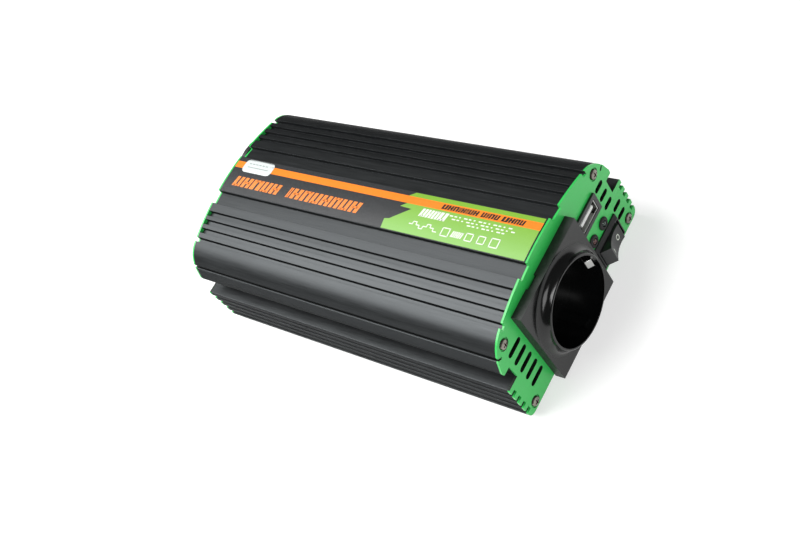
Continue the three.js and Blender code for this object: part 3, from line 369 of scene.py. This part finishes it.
# %% Dress the rear end
dress("fan_frame", nylon, edge=0.3)
dress("fan_rotor", nylon, edge=0.15)
dress("fan_guard", nylon, edge=0.4)
for side, plastic in (("positive", red_nylon), ("negative", nylon)):
    dress(f"{side}_terminal_base", plastic, edge=0.5, steps=3)
    dress(f"{side}_terminal_knob", plastic, edge=0.4, steps=3, corner=40)
    dress(f"{side}_terminal_stud", brass, edge=0.2)
    dress(f"{side}_terminal_washer", brass, edge=0.15)
print("Dressed the fan and the terminals")

# %% Dress the inside
for node, material, edge in (
    ("main_board", solder_mask, 0.1), ("front_board", solder_mask, 0.1), ("transformer_core", ferrite, 0.5),
    ("transformer_winding", winding_tape, 0.5), ("fuse", fuse_plastic, 0.4),
    ("bus_capacitor", shrink_sleeve, 0.6),
    ("input_capacitor_left", shrink_sleeve, 0.6), ("input_capacitor_right", shrink_sleeve, 0.6),
    ("clamp_bar_left", nickel_plate, 0.3), ("clamp_bar_right", nickel_plate, 0.3),
):
    dress(node, material, edge)
for node in [n for n in body_of_node if n.startswith("transistor_")]:
    dress(node, nylon, 0.3)
print("Dressed the inside")

# %% [markdown]
# ## The printed label
#
# The label is a strip of dark polyester film along the crown of the roof. It carries an orange
# stripe, a green field with an uneven edge, and rows of print. Real print is a few micrometres of
# ink, which an image would normally give. Here every patch of ink is a thin sheet of geometry, cut
# to its outline and laid on the film, so that its edge stays sharp at any distance. The words are
# not copied: slanted bars stand for lettering.

# %% Inks and film
film = grained("polyester_film", "#1d1f21", "#242628", (0.3, 0.4), grain=0.6, relief=0.001, IOR=1.6)
orange_ink = grained("orange_ink", "#dc7412", "#e27c1a", (0.32, 0.42), grain=0.5, relief=0.001, IOR=1.5)
pale_orange_ink = grained(
    "pale_orange_ink", "#d87428", "#de8038", (0.32, 0.42), grain=0.5, relief=0.001, IOR=1.5)
white_ink = grained("white_ink", "#ccd4c6", "#d6dcd0", (0.4, 0.5), grain=0.5, relief=0.001, IOR=1.5)
black_ink = grained("black_ink", "#1b1410", "#241b15", (0.35, 0.45), grain=0.5, relief=0.001, IOR=1.5)
vinyl = grained("white_vinyl", "#bfc6c5", "#c6cccb", (0.25, 0.35), grain=0.8, relief=0.002, IOR=1.54)
grey_ink = grained("grey_ink", "#7d8a85", "#8b9792", (0.35, 0.45), grain=0.5, relief=0.001, IOR=1.5)
print("Inks ready")

# %% The green field, with painted sheen towards its near edge
# Its ink is strong green. The paler colour towards the near edge is painted sheen, standing for the
# reflection of the soft box over that half of the label.
green_ink = grained("green_ink", "#6f9c26", "#78a42e", (0.32, 0.42), grain=0.5, relief=0.001, IOR=1.5)
tree = green_ink.node_tree
across = add_node(tree, "ShaderNodeSeparateXYZ",
                  {"Vector": next(n for n in tree.nodes if n.type == "TEX_COORD").outputs["Object"]})
label_low, label_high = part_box("top_label")
painted_sheen = add_node(tree, "ShaderNodeMapRange",
                {"Value": across.outputs["X"], "From Min": label_low.x, "From Max": label_high.x,
                 "To Min": 1.0, "To Max": 0.0})
shader = next(n for n in tree.nodes if n.type == "BSDF_PRINCIPLED")
ink_now = shader.inputs["Base Color"].links[0].from_socket
green_with_sheen = add_node(tree, "ShaderNodeMix", {"Factor": painted_sheen.outputs["Result"]}, data_type="RGBA")
tree.links.new(ink_now, green_with_sheen.inputs[6])
green_with_sheen.inputs[7].default_value = linear("#7aab54")
tree.links.new(green_with_sheen.outputs[2], shader.inputs["Base Color"])
print("Green ink fades from x =", round(label_high.x / MM, 1), "to", round(label_low.x / MM, 1), "mm")

# %% A helper that lays ink on a surface
def lay_on(name, outlines, under, along, lift, material, step=1.0):
    """A piece of thin print. Each outline is a list of points, in metres, which fall along the
    direction along until they meet the piece under. step is how finely they follow its curve, in mm."""
    form = bmesh.new()
    for outline in outlines:
        face = form.faces.new([form.verts.new(p) for p in outline])
        face.normal_update()
        bmesh.ops.triangulate(form, faces=[face], ngon_method="EAR_CLIP")
    xs = [v.co.x for v in form.verts]
    cuts = int((max(xs) - min(xs)) / (step * MM))
    for i in range(1, cuts + 1):
        everything = form.verts[:] + form.edges[:] + form.faces[:]
        bmesh.ops.bisect_plane(
            form, geom=everything, plane_co=(min(xs) + i * step * MM, 0, 0), plane_no=(1, 0, 0))
    ground = BVHTree.FromObject(under, bpy.context.evaluated_depsgraph_get())
    down = Vector(along)
    for vertex in form.verts:
        hit = ground.ray_cast(vertex.co, down)[0]
        if hit:
            vertex.co = hit - down * lift * MM
    bmesh.ops.recalc_face_normals(form, faces=form.faces)
    if form.faces[:] and form.faces[0].normal.dot(down) > 0:
        bmesh.ops.reverse_faces(form, faces=form.faces)
    mesh = bpy.data.meshes.new(name)
    form.to_mesh(mesh)
    form.free()
    mesh.polygons.foreach_set("use_smooth", [True] * len(mesh.polygons))
    body = body_of(under)[0]
    return put_in_scene(name, mesh, body, material)


print("Print helper ready")

# %% The film and its places
# Places on the label are given as (x, u) in mm: x across the object, and u from the rear end forward.
top_label = dress("top_label", film, edge=0, corner=40)
rear_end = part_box("rear_plate")[1].y
LABEL_END = (rear_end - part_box("top_label")[0].y) / MM
LABEL_START = (rear_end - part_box("top_label")[1].y) / MM
LABEL_NEAR = label_low.x / MM
LABEL_FAR = label_high.x / MM


def on_label(x, u):
    return (x * MM, rear_end - u * MM, cad_high.z + 0.01)


def patch(points):
    return [on_label(x, u) for x, u in points]


def box_patch(x0, x1, u0, u1):
    return patch([(x0, u0), (x1, u0), (x1, u1), (x0, u1)])


def ink(name, outlines, lift, material):
    return lay_on(name, outlines, top_label, (0, 0, -1), lift, material)


print("Label runs from", round(LABEL_START, 1), "to", round(LABEL_END, 1), "mm")

# %% Stripe and green field
INK = 0.05  # height of the first ink over the film, in mm
OVERPRINT = 0.09  # height of the ink that lies on the first one
STRIPE = (4.0, 7.9)
STRIPE_MARGIN = 0.2
stripe = ink("label_orange_stripe",
             [box_patch(*STRIPE, LABEL_START + STRIPE_MARGIN, LABEL_END - STRIPE_MARGIN)], INK, orange_ink)

# The field stops a little short of the film's edges. Its rear edge is jagged.
field_far = LABEL_FAR - 0.35
field_near = LABEL_NEAR + 0.1
field_front = LABEL_END - 0.3
field = ink("label_green_field", [
    patch([(field_far, 121), (STRIPE[1], 118), (STRIPE[1], field_front), (field_far, field_front)]),
    patch([(STRIPE[0], 119.6), (1.8, 116.7), (1.4, 123.6), (-5.4, 114.6), (-5.9, 112), (field_near, 112.6),
           (field_near, field_front), (STRIPE[0], field_front)]),
], INK, green_ink)
print(stripe.name, field.name, len(field.data.polygons), "faces")

# %% Rows of slanted bars in place of words
SLANT = 0.22


def letters(low, high, start, widths, gap, thin=0.4):
    """Blocks the size of letters, standing between x = low and high, from u = start on. Each block is
    two leaning strokes joined by a bar, at the height that alternates from letter to letter."""
    blocks = []
    u = start
    lean = SLANT * (high - low)
    for i, width in enumerate(widths):
        stroke = thin * width
        for near in (u, u + width - stroke):
            far = near + stroke
            blocks.append(patch([(low, near), (high, near + lean), (high, far + lean), (low, far)]))
        share = (0.0, 0.4, 0.8)[i % 3]
        bar_low = low + share * (high - low)
        bar_high = bar_low + 0.2 * (high - low)
        shift = [SLANT * (b - low) for b in (bar_low, bar_high)]
        left, right = u + stroke * 0.5, u + width - stroke * 0.5
        blocks.append(patch([(bar_low, left + shift[0]), (bar_high, left + shift[1]),
                             (bar_high, right + shift[1]), (bar_low, right + shift[0])]))
        u += width + gap
    return blocks


heading = letters(-6.7, -0.9, 7.5, [5.4, 5.8, 7.2, 5.4, 5.6], 0.9)
heading += letters(-6.7, -0.9, 47, [2.0, 6.0, 6.0, 5.4, 5.6, 5.4, 5.4, 5.6], 0.9)
ink("label_heading", heading, INK, pale_orange_ink)

small_heading = letters(4.7, 7.2, 138.5, [2.9, 2.6, 2.6, 1.0, 2.2, 1.0, 2.3, 2.5], 0.35)
small_heading += letters(4.7, 7.2, 159.8, [2.3, 1.0, 2.5, 2.3], 0.35)
small_heading += letters(4.7, 7.2, 170.6, [3.2, 2.5, 2.3, 2.3], 0.35)
ink("label_small_heading", small_heading, OVERPRINT, black_ink)
print("Headings set with", len(heading) + len(small_heading), "strokes")

# %% Fine print and symbols on the green field
WORD = 2.6  # from one small dash to the next
LINE = 0.5
SQUARES_AT = -6.0
fine_print = letters(-1.2, 3.0, 129, [3.2, 3.0, 3.0, 4.2], 0.4, thin=0.42)
for row, (start, end) in enumerate(((145, 181), (147, 181), (156, 179))):
    middle = 2.2 - 1.5 * row
    for i in range(int((end - start) / WORD)):
        u = start + i * WORD
        fine_print.append(box_patch(middle - 0.3, middle + 0.3, u, u + 1.9 - 0.5 * (i % 3)))

# A line of steps goes up and down along the label. A tread runs along it and a riser across it.
STEP = 2.0
treads = [(x, 126.5 + i * STEP) for i, x in enumerate((-5.6, -4.2, -5.6, -7.0) * 2)]
for x, u in treads:
    fine_print.append(box_patch(x - LINE / 2, x + LINE / 2, u, u + 2.2))
for (x0, u0), (x1, _) in zip(treads, treads[1:]):
    fine_print.append(box_patch(min(x0, x1), max(x0, x1), u0 + STEP - LINE / 2, u0 + STEP + LINE / 2))

# Four open squares.
for u, size in ((145, 4.4), (158, 4.0), (164.5, 4.0), (171, 4.6)):
    x0, x1 = SQUARES_AT - size / 2, SQUARES_AT + size / 2
    for sides in ((x0, x1, u, u + LINE), (x0, x1, u + size - LINE, u + size),
                  (x0, x0 + LINE, u, u + size), (x1 - LINE, x1, u, u + size)):
        fine_print.append(box_patch(*sides))
fine_print += letters(-7.6, -4.6, 150.5, [1.7, 1.7, 1.7], 0.3)
ink("label_fine_print", fine_print, OVERPRINT, white_ink)
print("Fine print has", len(fine_print), "strokes")

# %% The round-cornered sticker over the stripe
badge_low, badge_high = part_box("badge_sticker")
CORNER = 2.6
ARC_STEPS = 8
VINYL = 0.12
near_u = (rear_end - badge_high.y) / MM
far_u = (rear_end - badge_low.y) / MM
x0, x1 = badge_low.x / MM, badge_high.x / MM
rounded = []
for (cx, cu), turn in (((x1 - CORNER, far_u - CORNER), 0), ((x0 + CORNER, far_u - CORNER), 90),
                       ((x0 + CORNER, near_u + CORNER), 180), ((x1 - CORNER, near_u + CORNER), 270)):
    for i in range(ARC_STEPS + 1):
        angle = math.radians(turn + i * 90 / ARC_STEPS)
        rounded.append((cx + CORNER * math.cos(angle), cu + CORNER * math.sin(angle)))
sticker = lay_on("badge_sticker_finished", [patch(rounded)], top_label, (0, 0, -1), VINYL, vinyl)
thick = sticker.modifiers.new("vinyl thickness", "SOLIDIFY")
thick.thickness = VINYL * MM
thick.offset = -1
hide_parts("badge_sticker")
middle = (x0 + x1) / 2
marks = []
for i in range(6):
    start = near_u + 3 + 2.4 * i
    marks.append(box_patch(middle + 1.2, middle + 1.7, start, start + 1.6))
marks += [box_patch(middle - 0.9, middle - 0.5, near_u + 3, far_u - 3)]
lay_on("badge_marks", marks, sticker, (0, 0, -1), INK, grey_ink)
print("Sticker measures", round(x1 - x0, 1), "by", round(far_u - near_u, 1), "mm")

# %% [markdown]
# ## Marks on the switch
#
# A rocker switch carries a line for on and a ring for off. They are moulded in white plastic or
# pad-printed, and the ring is on the end that is pressed in when the inverter is off.

# %% Ring and line
MARK_OUT = 3.4
MARK_INK = 0.03
RING_HALF_WIDTH = 1.2
RING_HALF_HEIGHT = 1.75
RING_HOLE = 0.68  # as a share of the ring
paddle_mid = (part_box("switch_body")[0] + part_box("switch_body")[1]) / 2
ring_marks = []
TURNS = 24
for i in range(TURNS):
    outline = []
    for size, k in ((1.0, 0), (1.0, 1), (RING_HOLE, 1), (RING_HOLE, 0)):
        angle = 2 * math.pi * (i + k) / TURNS
        outline.append((paddle_mid.x + (MARK_OUT + RING_HALF_WIDTH * size * math.cos(angle)) * MM, cad_low.y,
                        paddle_mid.z + RING_HALF_HEIGHT * size * math.sin(angle) * MM))
    ring_marks.append(outline)
line_mark = [[(paddle_mid.x + dx * MM - MARK_OUT * MM, cad_low.y, paddle_mid.z + dz * MM)
              for dx, dz in ((-0.22, -1.5), (0.22, -1.5), (0.22, 1.5), (-0.22, 1.5))]]
lay_on("rocker_ring_mark", ring_marks, switch_rocker, (0, 1, 0), MARK_INK, white_ink)
lay_on("rocker_line_mark", line_mark, switch_rocker, (0, 1, 0), MARK_INK, white_ink)
print("Marks stand", MARK_OUT, "mm to each side of the pivot")

# %% [markdown]
# ## Floor, light and camera
#
# A product of dark metal is lit with one large soft box above and behind it. The metal shows the box
# as a broad grey sheen on the faces that lean towards it, and stays nearly black where it leans
# away, which is what draws the fins. The floor is plain and pale.

# %% Floor
floor_mesh = bpy.data.meshes.new("floor")
HALF = 4.0
floor_corners = [(-HALF, -HALF, 0), (HALF, -HALF, 0), (HALF, HALF, 0), (-HALF, HALF, 0)]
floor_mesh.from_pydata(floor_corners, [], [(0, 1, 2, 3)])
floor = bpy.data.objects.new("floor", floor_mesh)
bpy.context.scene.collection.objects.link(floor)
paper = grained("white_paper", "#bababa", "#bebebe", (0.85, 0.95), grain=2, relief=0.002, drift=400,
                **{"Emission Color": (1, 1, 1, 1), "Emission Strength": 0.55})
floor_mesh.materials.append(paper)
print("Floor is", 2 * HALF, "m across")

# %% Lights
centre = (cad_low + cad_high) / 2


def soft_box(name, direction, distance, size, watts, tall=None):
    """A rectangular light at distance metres from the object, in that direction, facing it."""
    lamp = bpy.data.lights.new(name, "AREA")
    lamp.shape = "RECTANGLE"
    lamp.size = size
    lamp.size_y = tall or size
    lamp.energy = watts
    thing = bpy.data.objects.new(name, lamp)
    bpy.context.scene.collection.objects.link(thing)
    away = Vector(direction).normalized()
    thing.location = centre + away * distance
    thing.rotation_mode = "QUATERNION"
    thing.rotation_quaternion = away.to_track_quat("Z", "Y")
    return thing


soft_box("top_soft_box", (-0.29, 0.5, 0.84), 1.2, 1.15, 31, 1.0)
soft_box("front_fill", (-0.5, -1.0, 0.7), 1.6, 0.9, 12)

world = bpy.data.worlds.new("studio")
bpy.context.scene.world = world
world.use_nodes = True
world.node_tree.nodes.clear()
sky = add_node(world.node_tree, "ShaderNodeBackground", {"Color": linear("#ffffff"), "Strength": 0.15})
add_node(world.node_tree, "ShaderNodeOutputWorld", {"Surface": sky.outputs["Background"]})
bpy.context.scene.view_settings.view_transform = "Standard"
print("Lights placed")

# %% Camera
camera_data = bpy.data.cameras.new("camera")
camera_data.lens = 48.47
camera_data.sensor_width = 36
camera_data.clip_start = 0.01
camera = bpy.data.objects.new("camera", camera_data)
bpy.context.scene.collection.objects.link(camera)
look = Vector((0.30778, 0.63208, -0.71116))
up = Vector((0.82375, 0.19702, 0.53162))
right = look.cross(up)
stand = Matrix((right, up, -look)).transposed().to_4x4()
stand.translation = Vector((-168.87, -333.39, 387.5)) * MM
camera.matrix_world = stand
bpy.context.scene.camera = camera
print("Camera looks along", [round(v, 3) for v in look])
